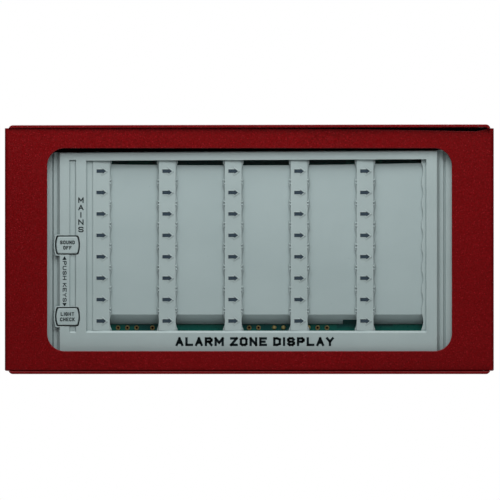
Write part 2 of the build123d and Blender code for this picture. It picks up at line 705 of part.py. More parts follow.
with BuildPart() as label_backing:
    with BuildSketch(from_side(GUARD_RIGHT)):
        Polygon(
            (GUARD_FRONT, GUARD_TOP[2]),
            (GUARD_FRONT, GUARD_FOLD),
            (GUARD_FOOT_FRONT, GUARD_FOOT),
            (GUARD_FOOT_FRONT - GUARD_SHEET, GUARD_FOOT),
            (GUARD_BACK, GUARD_FOLD + GUARD_SHEET / 2),
            (GUARD_BACK, GUARD_TOP[2]),
            align=None,
        )
    extrude(amount=GUARD_RIGHT - GUARD_LEFT)
    for left, right in zip(bed_left, bed_right):
        with BuildSketch(from_side(right)):
            Polygon(
                (GUARD_FRONT, GUARD_TOP[2]),
                (LABEL_FRONT, GUARD_TOP[2]),
                (LABEL_FRONT, GUARD_FOLD),
                (GUARD_FOOT_FRONT, GUARD_FOOT),
                (GUARD_FRONT, GUARD_FOLD),
                align=None,
            )
        extrude(amount=right - left)
    # The top edge dips in the middle.
    with BuildSketch(front(GUARD_BACK)):
        with BuildLine():
            ThreePointArc((GUARD_LEFT, GUARD_TOP[0]), (GUARD_DIP, GUARD_TOP[1]), (GUARD_RIGHT, GUARD_TOP[2]))
            Polyline(
                (GUARD_RIGHT, GUARD_TOP[2]),
                (GUARD_RIGHT, GUARD_TOP[2] + 1),
                (GUARD_LEFT, GUARD_TOP[2] + 1),
                (GUARD_LEFT, GUARD_TOP[0]),
            )
        make_face()
    extrude(amount=FACE - GUARD_BACK, mode=Mode.SUBTRACT)
    with BuildSketch(front(BOARD_FRONT)):
        for x in column_x:
            with Locations((x, (GUARD_RIB_TOP + GUARD_FOLD) / 2)):
                with GridLocations(2 * GUARD_RIB_HALF, 0, 2, 1):
                    Rectangle(GUARD_SHEET, GUARD_RIB_TOP - GUARD_FOLD)
    extrude(amount=GUARD_BACK - BOARD_FRONT)
    with BuildSketch(front(BOARD_FRONT)):
        with Locations(*arrow_spots):
            Circle(LED_FLANGE_R + LENS_GAP)
        with Locations((GUARD_NOTCH[0], GUARD_NOTCH[2])):
            Rectangle(GUARD_NOTCH[1] - GUARD_NOTCH[0], BAR_HALF, align=(Align.MIN, Align.MAX))
    extrude(amount=FACE, mode=Mode.SUBTRACT)
label_backing.part.label = "label_backing"
export_step(label_backing.part, "parts/label_backing.step")


# ---------------------------------------------------------------- circuit board
pad_spots = [(x + PAD_PITCH * i, PAD_ROW) for x in PAD_GROUPS for i in range(3)]
terminal_spots = {
    name: [(x + PAD_PITCH * i, z) for i in range(ways)]
    for name, (x, z, ways) in TERMINAL_BLOCKS.items()
}

with BuildPart() as circuit_board:
    with BuildSketch(front(BOARD_BACK)):
        with Locations((BOARD_LEFT, BOARD_BOTTOM)):
            Rectangle(BOARD_RIGHT - BOARD_LEFT, BOARD_TOP - BOARD_BOTTOM, align=(Align.MIN, Align.MIN))
        with Locations(*pad_spots):
            Circle(PAD_HOLE_R, mode=Mode.SUBTRACT)
        with Locations(*BOARD_SCREWS):
            Circle(M3_R + HOLE_CLEARANCE, mode=Mode.SUBTRACT)
    extrude(amount=BOARD_FRONT - BOARD_BACK)
circuit_board.part.label = "circuit_board"
export_step(circuit_board.part, "parts/circuit_board.step")

# Plated rings round the open holes, and solder fillets over the soldered pins.
with BuildPart() as solder_pads:
    with BuildSketch(front(BOARD_FRONT)):
        for group, x in enumerate(PAD_GROUPS):
            for i in range(3):
                if (group, i) not in SOLDERED:
                    with Locations((x + PAD_PITCH * i, PAD_ROW)):
                        Circle(PAD_R)
                        Circle(PAD_HOLE_R, mode=Mode.SUBTRACT)
    extrude(amount=PAD_THICKNESS)
solder_pads.part.label = "solder_pads"
export_step(solder_pads.part, "parts/solder_pads.step")

soldered_spots = [(PAD_GROUPS[group] + PAD_PITCH * i, PAD_ROW) for group, i in SOLDERED]
with BuildPart() as solder_joints:
    with BuildSketch(front(BOARD_FRONT)):
        with Locations(*soldered_spots):
            Circle(PAD_R)
    extrude(amount=SOLDER_HEIGHT, taper=SOLDER_TAPER)
    with BuildSketch(front(BOARD_BACK)):
        with Locations(*soldered_spots):
            Circle(PAD_HOLE_R)
    extrude(amount=BOARD_FRONT - BOARD_BACK)
solder_joints.part.label = "solder_joints"
export_step(solder_joints.part, "parts/solder_joints.step")


def on_board_back(depth):
    """Sketch plane this far behind the board's back face, extruding away from the board."""
    return Plane(origin=(0, depth - BOARD_BACK, 0), x_dir=(-1, 0, 0), z_dir=(0, 1, 0))


def flipped(spots):
    """Board positions as seen from behind, for sketches on on_board_back()."""
    return [(-x, z) for x, z in spots]


def chip_package(spots, size, leads_per_side, four_sided=False):
    """Moulded packages with a row of bent leads along their sides, one solid per spot."""
    width, length, height = size
    with BuildPart() as package:
        with BuildSketch(on_board_back(PACKAGE_GAP)):
            with Locations(*flipped(spots)):
                Rectangle(width, length)
        extrude(amount=height - PACKAGE_GAP)
        chamfer(package.faces().group_by(Axis.Y)[-1].edges(), height / 6)
        pitch = length * LEAD_SHARE / (leads_per_side - 1)
        with BuildSketch(on_board_back(0)):
            with Locations(*flipped(spots)):
                with GridLocations(width + LEAD_REACH, pitch, 2, leads_per_side):
                    Rectangle(LEAD_REACH, LEAD_WIDTH)
                if four_sided:
                    with GridLocations(pitch, length + LEAD_REACH, leads_per_side, 2):
                        Rectangle(LEAD_WIDTH, LEAD_REACH)
        extrude(amount=LEAD_WIDTH / 2)
        with BuildSketch(on_board_back(0)):
            with Locations(*flipped(spots)):
                with GridLocations(width + LEAD_WIDTH / 2, pitch, 2, leads_per_side):
                    Rectangle(LEAD_WIDTH, LEAD_WIDTH)
                if four_sided:
                    with GridLocations(pitch, length + LEAD_WIDTH / 2, leads_per_side, 2):
                        Rectangle(LEAD_WIDTH, LEAD_WIDTH)
        extrude(amount=height / 2)
    return package.part


driver_chips = chip_package(DRIVER_CHIPS, DRIVER_SIZE, DRIVER_LEADS)
driver_chips.label = "driver_chips"
export_step(driver_chips, "parts/driver_chips.step")

controller_chip = chip_package([CONTROLLER], CONTROLLER_SIZE, CONTROLLER_LEADS, four_sided=True)
controller_chip.label = "controller_chip"
export_step(controller_chip, "parts/controller_chip.step")

with BuildPart() as resistor_arrays:
    with BuildSketch(on_board_back(0)):
        with Locations(*flipped(RESISTOR_SPOTS)):
            RectangleRounded(RESISTOR_SIZE[0], RESISTOR_SIZE[1], RESISTOR_CORNER)
    extrude(amount=RESISTOR_SIZE[2])
    fillet(resistor_arrays.edges().group_by(Axis.Y)[-1], RESISTOR_CROWN)
resistor_arrays.part.label = "resistor_arrays"
export_step(resistor_arrays.part, "parts/resistor_arrays.step")

flange_width, flange_length = [side + CRYSTAL_FLANGE[0] for side in CRYSTAL_SIZE[:2]]
with BuildPart() as crystal:
    with BuildSketch(on_board_back(0)):
        with Locations(*flipped([CRYSTAL])):
            SlotOverall(CRYSTAL_SIZE[1], CRYSTAL_SIZE[0], rotation=90)
    extrude(amount=CRYSTAL_SIZE[2])
    fillet(crystal.edges().group_by(Axis.Y)[-1], CAN_EDGE)
    with BuildSketch(on_board_back(0)):
        with Locations(*flipped([CRYSTAL])):
            SlotOverall(flange_length, flange_width, rotation=90)
    extrude(amount=CRYSTAL_FLANGE[1])
crystal.part.label = "crystal"
export_step(crystal.part, "parts/crystal.step")

tab_middle = (REGULATOR[0], REGULATOR[1] + REGULATOR_TAB[1] / 2)
tab_hole = (REGULATOR[0], REGULATOR[1] + (REGULATOR_SIZE[1] + REGULATOR_TAB[1]) / 2)
with BuildPart() as voltage_regulator:
    with BuildSketch(on_board_back(REGULATOR_TAB[2])):
        with Locations(*flipped([REGULATOR])):
            Rectangle(REGULATOR_SIZE[0], REGULATOR_SIZE[1])
    extrude(amount=REGULATOR_SIZE[2] - REGULATOR_TAB[2])
    chamfer(voltage_regulator.faces().sort_by(Axis.Y)[-1].edges(), CAN_EDGE)
    with BuildSketch(on_board_back(0)):
        with Locations(*flipped([tab_middle])):
            Rectangle(REGULATOR_TAB[0], REGULATOR_SIZE[1] + REGULATOR_TAB[1])
        with Locations(*flipped([tab_hole])):
            Circle(M3_R + HOLE_CLEARANCE, mode=Mode.SUBTRACT)
    extrude(amount=REGULATOR_TAB[2])
voltage_regulator.part.label = "voltage_regulator"
export_step(voltage_regulator.part, "parts/voltage_regulator.step")

with BuildPart() as capacitors:
    with BuildSketch(on_board_back(0)):
        with Locations(*flipped(CAPACITORS)):
            Circle(CAPACITOR_R)
    extrude(amount=BOARD_BACK - CAPACITOR_BACK)
    fillet(capacitors.edges().group_by(Axis.Y)[-1], CAPACITOR_EDGE)
    with BuildSketch(on_board_back(CAPACITOR_GROOVE[0])):
        with Locations(*flipped(CAPACITORS)):
            Circle(CAPACITOR_R)
            Circle(CAPACITOR_R - CAPACITOR_GROOVE[2], mode=Mode.SUBTRACT)
    extrude(amount=CAPACITOR_GROOVE[1], mode=Mode.SUBTRACT)
capacitors.part.label = "capacitors"
export_step(capacitors.part, "parts/capacitors.step")


# ---------------------------------------------------------------- sounder
sounder_plane = Plane(origin=(SOUNDER[0], 0, SOUNDER[1]), x_dir=(1, 0, 0), z_dir=(0, 0, 1))
sounder_axis = Axis((SOUNDER[0], 0, SOUNDER[1]), (0, 1, 0))
disc_ledge = SOUNDER_DISC[0] - SOUNDER_DISC[1] / 2

with BuildPart() as sounder_case:
    with BuildSketch(sounder_plane):
        with BuildLine():
            Polyline(
                (SOUNDER_DISC_R - SOUNDER_WALL, -BOARD_BACK),
                (SOUNDER_R, -BOARD_BACK),
                (SOUNDER_R, -SOUNDER_BACK),
                (SOUNDER_HOLE_R, -SOUNDER_BACK),
                (SOUNDER_HOLE_R, -SOUNDER_BACK - SOUNDER_WALL),
                (SOUNDER_DISC_R, -SOUNDER_BACK - SOUNDER_WALL),
                (SOUNDER_DISC_R, -disc_ledge - SOUNDER_DISC[1]),
                (SOUNDER_DISC_R - SOUNDER_WALL, -disc_ledge - SOUNDER_DISC[1]),
                close=True,
            )
        make_face()
    revolve(axis=sounder_axis)
    outer_rims = sounder_case.edges().filter_by(GeomType.CIRCLE).group_by(SortBy.RADIUS)[-1]
    fillet(outer_rims.sort_by(Axis.Y)[-1], SOUNDER_EDGE)
sounder_case.part.label = "sounder_case"
export_step(sounder_case.part, "parts/sounder_case.step")

with BuildPart() as sounder_disc:
    with BuildSketch(front(disc_ledge)):
        with Locations(SOUNDER):
            Circle(SOUNDER_DISC_R - RUNNING_GAP)
    extrude(amount=SOUNDER_DISC[1])
sounder_disc.part.label = "sounder_disc"
export_step(sounder_disc.part, "parts/sounder_disc.step")


# ---------------------------------------------------------------- terminals and header
terminal_depth, terminal_height = TERMINAL_SIZE
for name, spots in terminal_spots.items():
    middle = (spots[0][0] + spots[-1][0]) / 2
    width = PAD_PITCH * len(spots)
    with BuildPart() as terminal_block:
        with BuildSketch(on_board_back(0)):
            with Locations(*flipped([(middle, spots[0][1])])):
                Rectangle(width, terminal_depth)
        extrude(amount=terminal_height)
        chamfer(terminal_block.faces().sort_by(Axis.Y)[-1].edges().filter_by(Axis.X), TERMINAL_BEVEL)
        # Wire mouths open downwards; screw wells open to the back.
        with BuildSketch(Plane.XY.offset(spots[0][1] - terminal_depth / 2)):
            with Locations(*[(x, WIRE_LEVEL - BOARD_BACK) for x, z in spots]):
                Rectangle(*TERMINAL_MOUTH)
        extrude(amount=TERMINAL_MOUTH_DEPTH, mode=Mode.SUBTRACT)
        with BuildSketch(on_board_back(terminal_height)):
            with Locations(*flipped(spots)):
                Circle(TERMINAL_SCREW_R + RUNNING_GAP)
        extrude(amount=WIRE_LEVEL - terminal_height, mode=Mode.SUBTRACT)
    terminal_block.part.label = f"{name}_terminal_block"
    export_step(terminal_block.part, f"parts/{name}_terminal_block.step")

every_terminal = [spot for spots in terminal_spots.values() for spot in spots]
with BuildPart() as terminal_screws:
    with BuildSketch(on_board_back(TERMINAL_SCREW[0])):
        with Locations(*flipped(every_terminal)):
            Circle(TERMINAL_SCREW_R)
    extrude(amount=TERMINAL_SCREW[1] - TERMINAL_SCREW[0])
    with BuildSketch(on_board_back(TERMINAL_SCREW[1])):
        with Locations(*flipped(every_terminal)):
            Rectangle(3 * TERMINAL_SCREW_R, SCREW_RECESS[0])
    extrude(amount=-SCREW_RECESS[2], mode=Mode.SUBTRACT)
terminal_screws.part.label = "terminal_screws"
export_step(terminal_screws.part, "parts/terminal_screws.step")

header_x = [HEADER[0] + HEADER_PITCH * way for way in range(HEADER_WAYS)]
header_spots = [(x, HEADER[1] + HEADER_PITCH * row) for x in header_x for row in range(2)]
header_middle = (HEADER[0] + HEADER_PITCH * (HEADER_WAYS - 1) / 2, HEADER[1] + HEADER_PITCH / 2)
with BuildPart() as address_header:
    with BuildSketch(on_board_back(0)):
        with Locations(*flipped([header_middle])):
            Rectangle(HEADER_PITCH * HEADER_WAYS, 2 * HEADER_PITCH)
        with Locations(*flipped(header_spots)):
            Rectangle(HEADER_PIN, HEADER_PIN, mode=Mode.SUBTRACT)
    extrude(amount=HEADER_BODY)
address_header.part.label = "address_header"
export_step(address_header.part, "parts/address_header.step")

with BuildPart() as header_pins:
    with BuildSketch(on_board_back(0)):
        with Locations(*flipped(header_spots)):
            Rectangle(HEADER_PIN, HEADER_PIN)
    extrude(amount=BOARD_BACK - HEADER_BACK)
header_pins.part.label = "header_pins"
export_step(header_pins.part, "parts/header_pins.step")

jumper_spots = [(header_x[way], HEADER[1] + HEADER_PITCH / 2) for way in JUMPER_WAYS]
jumper_pins = [(x, z + side * HEADER_PITCH / 2) for x, z in jumper_spots for side in (-1, 1)]
with BuildPart() as address_jumpers:
    with BuildSketch(on_board_back(HEADER_BODY)):
        with Locations(*flipped(jumper_spots)):
            RectangleRounded(HEADER_PITCH - JUMPER_GAP, 2 * HEADER_PITCH - JUMPER_GAP, JUMPER_CORNER)
    extrude(amount=BOARD_BACK - HEADER_BACK)
    with BuildSketch(on_board_back(HEADER_BODY)):
        with Locations(*flipped(jumper_pins)):
            Rectangle(HEADER_PIN, HEADER_PIN)
    extrude(amount=BOARD_BACK - HEADER_BACK - HEADER_BODY, mode=Mode.SUBTRACT)
address_jumpers.part.label = "address_jumpers"
export_step(address_jumpers.part, "parts/address_jumpers.step")


# ---------------------------------------------------------------- push buttons and switches
button_cap = barrel(BUTTON_CAP, BUTTON_BULGE)
button_flange = barrel(BUTTON_FLANGE, BUTTON_BULGE)
for name, z in BUTTON_ROWS.items():
    spot = (BUTTON_X, z)
    with BuildPart() as cap:
        with BuildSketch(front(CAP_BACK)):
            with Locations(spot):
                add(button_cap)
        extrude(amount=CAP_FRONT - CAP_BACK)
        fillet(cap.edges().group_by(Axis.Y)[0], CAP_DOME)
        with BuildSketch(front(FLANGE_BACK)):
            with Locations(spot):
                add(button_flange)
        extrude(amount=FLANGE_FRONT - FLANGE_BACK)
        with BuildSketch(front(PLUNGER_FRONT)):
            with Locations(spot):
                Circle(PLUNGER_R + CAP_BOSS[0])
        extrude(amount=CAP_BOSS[1])
    cap.part.label = f"{name}_button"
    export_step(cap.part, f"parts/{name}_button.step")

    with BuildPart() as switch_body:
        with BuildSketch(front(BOARD_FRONT)):
            with Locations(spot):
                RectangleRounded(SWITCH_SIDE, SWITCH_SIDE, SWITCH_CORNER)
        extrude(amount=SWITCH_FRONT - BOARD_FRONT)
        with BuildSketch(front(PLUNGER_POCKET)):
            with Locations(spot):
                Circle(PLUNGER_R + RUNNING_GAP)
        extrude(amount=SWITCH_FRONT - PLUNGER_POCKET, mode=Mode.SUBTRACT)
    switch_body.part.label = f"{name}_switch_body"
    export_step(switch_body.part, f"parts/{name}_switch_body.step")

    with BuildPart() as plunger:
        with BuildSketch(front(PLUNGER_BACK)):
            with Locations(spot):
                Circle(PLUNGER_R)
        extrude(amount=PLUNGER_FRONT - PLUNGER_BACK)
    plunger.part.label = f"{name}_switch_plunger"
    export_step(plunger.part, f"parts/{name}_switch_plunger.step")


# ---------------------------------------------------------------- fixings
def pan_head_screws(spots, seat, length, facing):
    """Pan-head cross-recess screws seated at a height; facing is 1 for heads to the front."""
    seat_plane = front(seat) if facing > 0 else on_board_back(BOARD_BACK - seat)
    places = spots if facing > 0 else flipped(spots)
    with BuildPart() as screws:
        with BuildSketch(seat_plane):
            with Locations(*places):
                Circle(SCREW_HEAD_R)
        extrude(amount=SCREW_HEAD)
        head_rims = screws.edges().group_by(Axis.Y)[0 if facing > 0 else -1]
        fillet(head_rims, SCREW_HEAD / 2)
        with BuildSketch(seat_plane):
            with Locations(*places):
                Circle(M3_R - THREAD_GAP)
        extrude(amount=-length)
        with BuildSketch(seat_plane.offset(SCREW_HEAD - SCREW_RECESS[2])):
            with Locations(*places):
                Rectangle(SCREW_RECESS[0], SCREW_RECESS[1])
                Rectangle(SCREW_RECESS[1], SCREW_RECESS[0])
        extrude(amount=SCREW_HEAD, mode=Mode.SUBTRACT)
    return screws.part


board_screws = pan_head_screws(BOARD_SCREWS, BOARD_BACK, BOARD_SCREW_LENGTH, -1)
board_screws.label = "board_screws"
export_step(board_screws, "parts/board_screws.step")

fascia_screws = pan_head_screws(STANDOFFS, RAIL_FRONT, FASCIA_SCREW_LENGTH, 1)
fascia_screws.label = "fascia_screws"
export_step(fascia_screws, "parts/fascia_screws.step")

with BuildPart() as standoffs:
    with BuildSketch(front(SHEET)):
        with Locations(*STANDOFFS):
            RegularPolygon(STANDOFF_R, 6)
    extrude(amount=RAIL_BACK - SHEET)
    with BuildSketch(front(0)):
        with Locations(*STANDOFFS):
            Circle(SPIGOT_R - THREAD_GAP)
    extrude(amount=SHEET)
    with BuildSketch(front(RAIL_BACK)):
        with Locations(*STANDOFFS):
            Circle(M3_R)
    extrude(amount=-STANDOFF_THREAD, mode=Mode.SUBTRACT)
standoffs.part.label = "standoffs"
export_step(standoffs.part, "parts/standoffs.step")

with BuildPart() as cable_bushing:
    with BuildSketch(front(0)):
        with Locations(CABLE_ENTRY):
            Circle(BUSHING_R - THREAD_GAP)
    extrude(amount=SHEET)
    with BuildSketch(front(SHEET)):
        with Locations(CABLE_ENTRY):
            Circle(BUSHING_FLANGE_R)
    extrude(amount=BUSHING_FRONT - SHEET)
    fillet(cable_bushing.edges().group_by(Axis.Y)[0], BUSHING_EDGE)
    with BuildSketch(front(0)):
        with Locations(CABLE_ENTRY):
            Circle(BUSHING_BORE)
    extrude(amount=BUSHING_FRONT, mode=Mode.SUBTRACT)
cable_bushing.part.label = "cable_bushing"
export_step(cable_bushing.part, "parts/cable_bushing.step")

with BuildPart() as earth_stud:
    with BuildSketch(front(0)):
        with Locations(EARTH_POINT):
            Circle(M4_R - THREAD_GAP)
    extrude(amount=EARTH_STUD_FRONT)
    chamfer(earth_stud.edges().group_by(Axis.Y)[0], STUD_TIP)
earth_stud.part.label = "earth_stud"
export_step(earth_stud.part, "parts/earth_stud.step")

with BuildPart() as earth_washer:
    with BuildSketch(front(SHEET)):
        with Locations(EARTH_POINT):
            Circle(M4_WASHER[0])
            Circle(M4_R + THREAD_GAP, mode=Mode.SUBTRACT)
    extrude(amount=M4_WASHER[1])
earth_washer.part.label = "earth_washer"
export_step(earth_washer.part, "parts/earth_washer.step")

with BuildPart() as earth_nut:
    with BuildSketch(front(SHEET + M4_WASHER[1])):
        with Locations(EARTH_POINT):
            RegularPolygon(M4_NUT[0] / 2, 6, major_radius=False)
            Circle(M4_R, mode=Mode.SUBTRACT)
    extrude(amount=M4_NUT[1])
earth_nut.part.label = "earth_nut"
export_step(earth_nut.part, "parts/earth_nut.step")
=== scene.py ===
"""Looks, camera and light for the wall-mounted alarm zone indicator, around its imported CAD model.

Everything is in metres in the row frame: X to the right, Z up, the wall plane at Y = 0 and the
front of the object facing -Y.
"""

import json
import math

import bmesh
import bpy
from mathutils import Matrix, Vector


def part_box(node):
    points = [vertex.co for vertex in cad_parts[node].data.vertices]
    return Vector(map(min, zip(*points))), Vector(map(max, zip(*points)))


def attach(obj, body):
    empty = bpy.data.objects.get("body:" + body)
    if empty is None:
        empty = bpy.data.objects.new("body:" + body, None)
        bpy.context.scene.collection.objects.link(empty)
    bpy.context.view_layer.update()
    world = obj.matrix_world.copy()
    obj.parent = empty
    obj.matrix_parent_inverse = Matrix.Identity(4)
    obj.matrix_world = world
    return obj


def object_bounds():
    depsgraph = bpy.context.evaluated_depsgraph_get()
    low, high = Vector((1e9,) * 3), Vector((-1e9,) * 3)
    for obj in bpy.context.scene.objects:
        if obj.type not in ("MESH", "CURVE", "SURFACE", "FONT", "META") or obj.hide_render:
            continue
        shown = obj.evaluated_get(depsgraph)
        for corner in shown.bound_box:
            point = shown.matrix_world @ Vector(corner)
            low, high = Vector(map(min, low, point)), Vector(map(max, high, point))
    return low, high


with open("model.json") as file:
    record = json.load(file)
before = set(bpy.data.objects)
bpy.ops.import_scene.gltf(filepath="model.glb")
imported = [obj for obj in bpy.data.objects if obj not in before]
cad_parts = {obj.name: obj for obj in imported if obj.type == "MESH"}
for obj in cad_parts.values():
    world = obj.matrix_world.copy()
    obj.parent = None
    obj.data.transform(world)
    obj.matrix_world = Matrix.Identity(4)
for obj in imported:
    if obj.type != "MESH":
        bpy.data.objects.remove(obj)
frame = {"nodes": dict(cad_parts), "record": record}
cad_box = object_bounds()
nodes = frame["nodes"]

MM = 0.001
PAPER_WHITE = (1.0, 1.0, 1.0, 1.0)


# ---------------------------------------------------------------- camera, floor and light
VIEW_WIDTH = 272.5 * MM  # width of the picture at the cover's front plate
VIEW_DISTANCE = 3.0
VIEW_AIM = (0.33 * MM, -0.38 * MM)  # X and Z of the picture's centre
SENSOR = 36.0
FLOOR_DROP = 0.19  # the panel hangs this far above the floor
FLOOR_RADIUS = 0.9

cover_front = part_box("front_cover")[0][1]

camera_data = bpy.data.cameras.new("camera")
camera_data.sensor_width = SENSOR
camera_data.lens = SENSOR * VIEW_DISTANCE / VIEW_WIDTH
camera_data.clip_start = 0.02
camera_data.clip_end = 30.0
camera = bpy.data.objects.new("camera", camera_data)
camera.location = (VIEW_AIM[0], cover_front - VIEW_DISTANCE, VIEW_AIM[1])
camera.rotation_euler = (math.pi / 2, 0.0, 0.0)
bpy.context.collection.objects.link(camera)
bpy.context.scene.camera = camera
bpy.context.scene.view_settings.view_transform = "Standard"
bpy.context.scene.view_settings.look = "None"


def soft_light(name, place, size, power, target=(0.0, 0.0, 0.0)):
    """A rectangular lamp at place that points at target."""
    data = bpy.data.lights.new(name, "AREA")
    data.shape = "RECTANGLE"
    data.size, data.size_y = size
    data.energy = power
    lamp = bpy.data.objects.new(name, data)
    lamp.location = place
    lamp.rotation_euler = (Vector(target) - Vector(place)).to_track_quat("-Z", "Y").to_euler()
    bpy.context.collection.objects.link(lamp)


soft_light("key_light", (-0.05, -0.30, 0.44), (0.55, 0.26), 3.2)
soft_light("front_light", (0.08, -0.50, 0.34), (0.60, 0.12), 0.95)
soft_light("back_light", (0.5, 1.0, 0.7), (0.9, 0.9), 22.0)


def world_light(strength):
    """A white surround that lights the object with strength and looks white in the picture."""
    world = bpy.data.worlds.new("studio")
    bpy.context.scene.world = world
    world.use_nodes = True
    tree = world.node_tree
    tree.nodes.clear()
    rays = tree.nodes.new("ShaderNodeLightPath")
    level = tree.nodes.new("ShaderNodeMapRange")
    level.inputs["To Min"].default_value = strength
    level.inputs["To Max"].default_value = 1.0
    surround = tree.nodes.new("ShaderNodeBackground")
    surround.inputs["Color"].default_value = PAPER_WHITE
    output = tree.nodes.new("ShaderNodeOutputWorld")
    tree.links.new(rays.outputs["Is Camera Ray"], level.inputs["Value"])
    tree.links.new(level.outputs["Result"], surround.inputs["Strength"])
    tree.links.new(surround.outputs["Background"], output.inputs["Surface"])


world_light(0.055)


# ---------------------------------------------------------------- material building blocks
class Finish:
    """One procedural material: a Principled shader and the textures that feed it."""

    def __init__(self, name, metallic=0.0, specular=0.5, coat=0.0, coat_roughness=0.2):
        self.material = bpy.data.materials.new(name)
        self.material.use_nodes = True
        self.tree = self.material.node_tree
        self.shader = self.tree.nodes["Principled BSDF"]
        self.shader.inputs["Metallic"].default_value = metallic
        self.shader.inputs["Specular IOR Level"].default_value = specular
        self.shader.inputs["Coat Weight"].default_value = coat
        self.shader.inputs["Coat Roughness"].default_value = coat_roughness
        self.place = self.node("ShaderNodeTexCoord").outputs["Object"]

    def node(self, kind, inputs=(), **settings):
        """A new node with its settings, and its inputs either linked or set."""
        made = self.tree.nodes.new(kind)
        for name, value in settings.items():
            setattr(made, name, value)
        for key, value in dict(inputs).items():
            if isinstance(value, bpy.types.NodeSocket):
                self.tree.links.new(value, made.inputs[key])
            else:
                made.inputs[key].default_value = value
        return made

    def noise(self, size, detail=2.0, stretch=None):
        """Noise from 0 to 1 with features about size metres across, stretched along X, Y and Z."""
        place = self.place
        if stretch:
            place = self.node("ShaderNodeVectorMath", {0: place, 1: stretch}, operation="MULTIPLY").outputs[0]
        values = {"Vector": place, "Scale": 1.0 / size, "Detail": detail}
        return self.node("ShaderNodeTexNoise", values).outputs["Fac"]

    def cells(self, size):
        """Distance to the nearest of scattered points about size metres apart, in units of size."""
        values = {"Vector": self.place, "Scale": 1.0 / size}
        return self.node("ShaderNodeTexVoronoi", values).outputs["Distance"]

    def spread(self, value, low, high, start=0.0, end=1.0):
        """Value between start and end, mapped to low and high."""
        limits = {"Value": value, "From Min": start, "From Max": end, "To Min": low, "To Max": high}
        return self.node("ShaderNodeMapRange", limits).outputs["Result"]

    def maths(self, operation, first, second):
        """The result of one operation on two values."""
        return self.node("ShaderNodeMath", {0: first, 1: second}, operation=operation).outputs[0]

    def mix(self, factor, first, second):
        """First colour changed towards second by factor."""
        return self.node("ShaderNodeMix", {0: factor, 6: first, 7: second}, data_type="RGBA").outputs[2]

    def axis(self, index):
        """One coordinate in the row frame, in metres."""
        return self.node("ShaderNodeSeparateXYZ", {0: self.place}).outputs[index]

    def outside(self, index, low, high):
        """1 where a coordinate is outside low to high, and 0 between them."""
        below = self.maths("LESS_THAN", self.axis(index), low)
        above = self.maths("GREATER_THAN", self.axis(index), high)
        return self.maths("MAXIMUM", below, above)

    def rounded(self, radius):
        """Normals that round every sharp edge by radius."""
        return self.node("ShaderNodeBevel", {"Radius": radius}, samples=6).outputs["Normal"]

    def edges(self, radius):
        """1 along sharp edges, falling to 0 at radius from them."""
        facing = self.node("ShaderNodeNewGeometry").outputs["Normal"]
        normals = {0: self.rounded(radius), 1: facing}
        made = self.node("ShaderNodeVectorMath", normals, operation="DOT_PRODUCT")
        return self.spread(made.outputs["Value"], 1.0, 0.0, 0.75, 0.99)

    def crevices(self, reach):
        """1 deep in grooves and corners narrower than reach, and 0 in the open."""
        made = self.node("ShaderNodeAmbientOcclusion", {"Distance": reach}, samples=8)
        return self.spread(made.outputs["AO"], 1.0, 0.0, 0.25, 0.95)

    def relief(self, layers, edge=0.0):
        """Surface relief from (height, depth in metres) layers, over edges rounded by edge."""
        normal = self.rounded(edge) if edge else None
        for height, depth in layers:
            values = {"Height": height, "Strength": 1.0, "Distance": depth}
            if normal:
                values["Normal"] = normal
            normal = self.node("ShaderNodeBump", values).outputs["Normal"]
        return normal

    def build(self, colour, roughness, normal):
        """Connects colour, roughness and relief, and gives the material."""
        self.tree.links.new(colour, self.shader.inputs["Base Color"])
        self.tree.links.new(roughness, self.shader.inputs["Roughness"])
        self.tree.links.new(normal, self.shader.inputs["Normal"])
        return self.material


def shade(red, green, blue):
    """A linear colour with full alpha."""
    return (red, green, blue, 1.0)


# ---------------------------------------------------------------- materials
def powder_coat():
    """Red powder coat: orange-peel relief, fine pale specks and a painted highlight along the edges."""
    finish = Finish("red_powder_coat", specular=0.16)
    cloud = finish.noise(45 * MM, 3.0)
    grain = finish.noise(0.75 * MM, 3.0)
    deep, bright = shade(0.098, 0.0001, 0.0004), shade(0.116, 0.0002, 0.0008)
    colour = finish.mix(finish.spread(cloud, 0.0, 1.0, 0.3, 0.7), deep, bright)
    colour = finish.mix(finish.spread(grain, 0.0, 0.85, 0.38, 0.70), colour, shade(0.185, 0.002, 0.004))
    specks = finish.spread(finish.cells(1.25 * MM), 0.85, 0.0, 0.06, 0.22)
    colour = finish.mix(specks, colour, shade(0.36, 0.014, 0.022))
    # painted highlight: the red turns paler and pinker along sharp edges
    colour = finish.mix(finish.spread(finish.edges(0.7 * MM), 0.0, 0.35), colour, shade(0.46, 0.05, 0.07))
    roughness = finish.spread(finish.noise(1.1 * MM), 0.30, 0.44, 0.3, 0.7)
    peel = finish.noise(1.3 * MM, 1.0)
    return finish.build(colour, roughness, finish.relief([(peel, 0.07 * MM), (grain, 0.03 * MM)], 0.5 * MM))


def moulded_grey(name, base, light, edge, painted_shade_reach):
    """Satin grey moulding with a spark-eroded texture, faint flow marks, painted shade in its corners and
    painted highlights along its edges.
    """
    finish = Finish(name, specular=0.45)
    cloud = finish.noise(30 * MM, 3.0, (0.6, 1.0, 1.0))
    texture = finish.noise(0.35 * MM, 2.0)
    colour = finish.mix(finish.spread(cloud, 0.0, 1.0, 0.25, 0.75), base, light)
    dust = finish.spread(finish.cells(9 * MM), 0.25, 0.0, 0.015, 0.04)
    colour = finish.mix(dust, colour, shade(0.10, 0.13, 0.13))
    # painted shade: the grey turns dark teal in grooves and corners narrower than the reach
    painted_shade = finish.spread(finish.crevices(painted_shade_reach), 0.0, 0.6)
    colour = finish.mix(painted_shade, colour, shade(0.045, 0.085, 0.092))
    # painted highlight: the grey turns paler along sharp edges
    colour = finish.mix(finish.spread(finish.edges(0.3 * MM), 0.0, 0.4), colour, shade(0.60, 0.70, 0.70))
    roughness = finish.spread(finish.noise(2.5 * MM), 0.40, 0.56, 0.3, 0.7)
    waves = finish.noise(18 * MM, 1.0)
    return finish.build(colour, roughness, finish.relief([(waves, 0.06 * MM), (texture, 0.006 * MM)], edge))


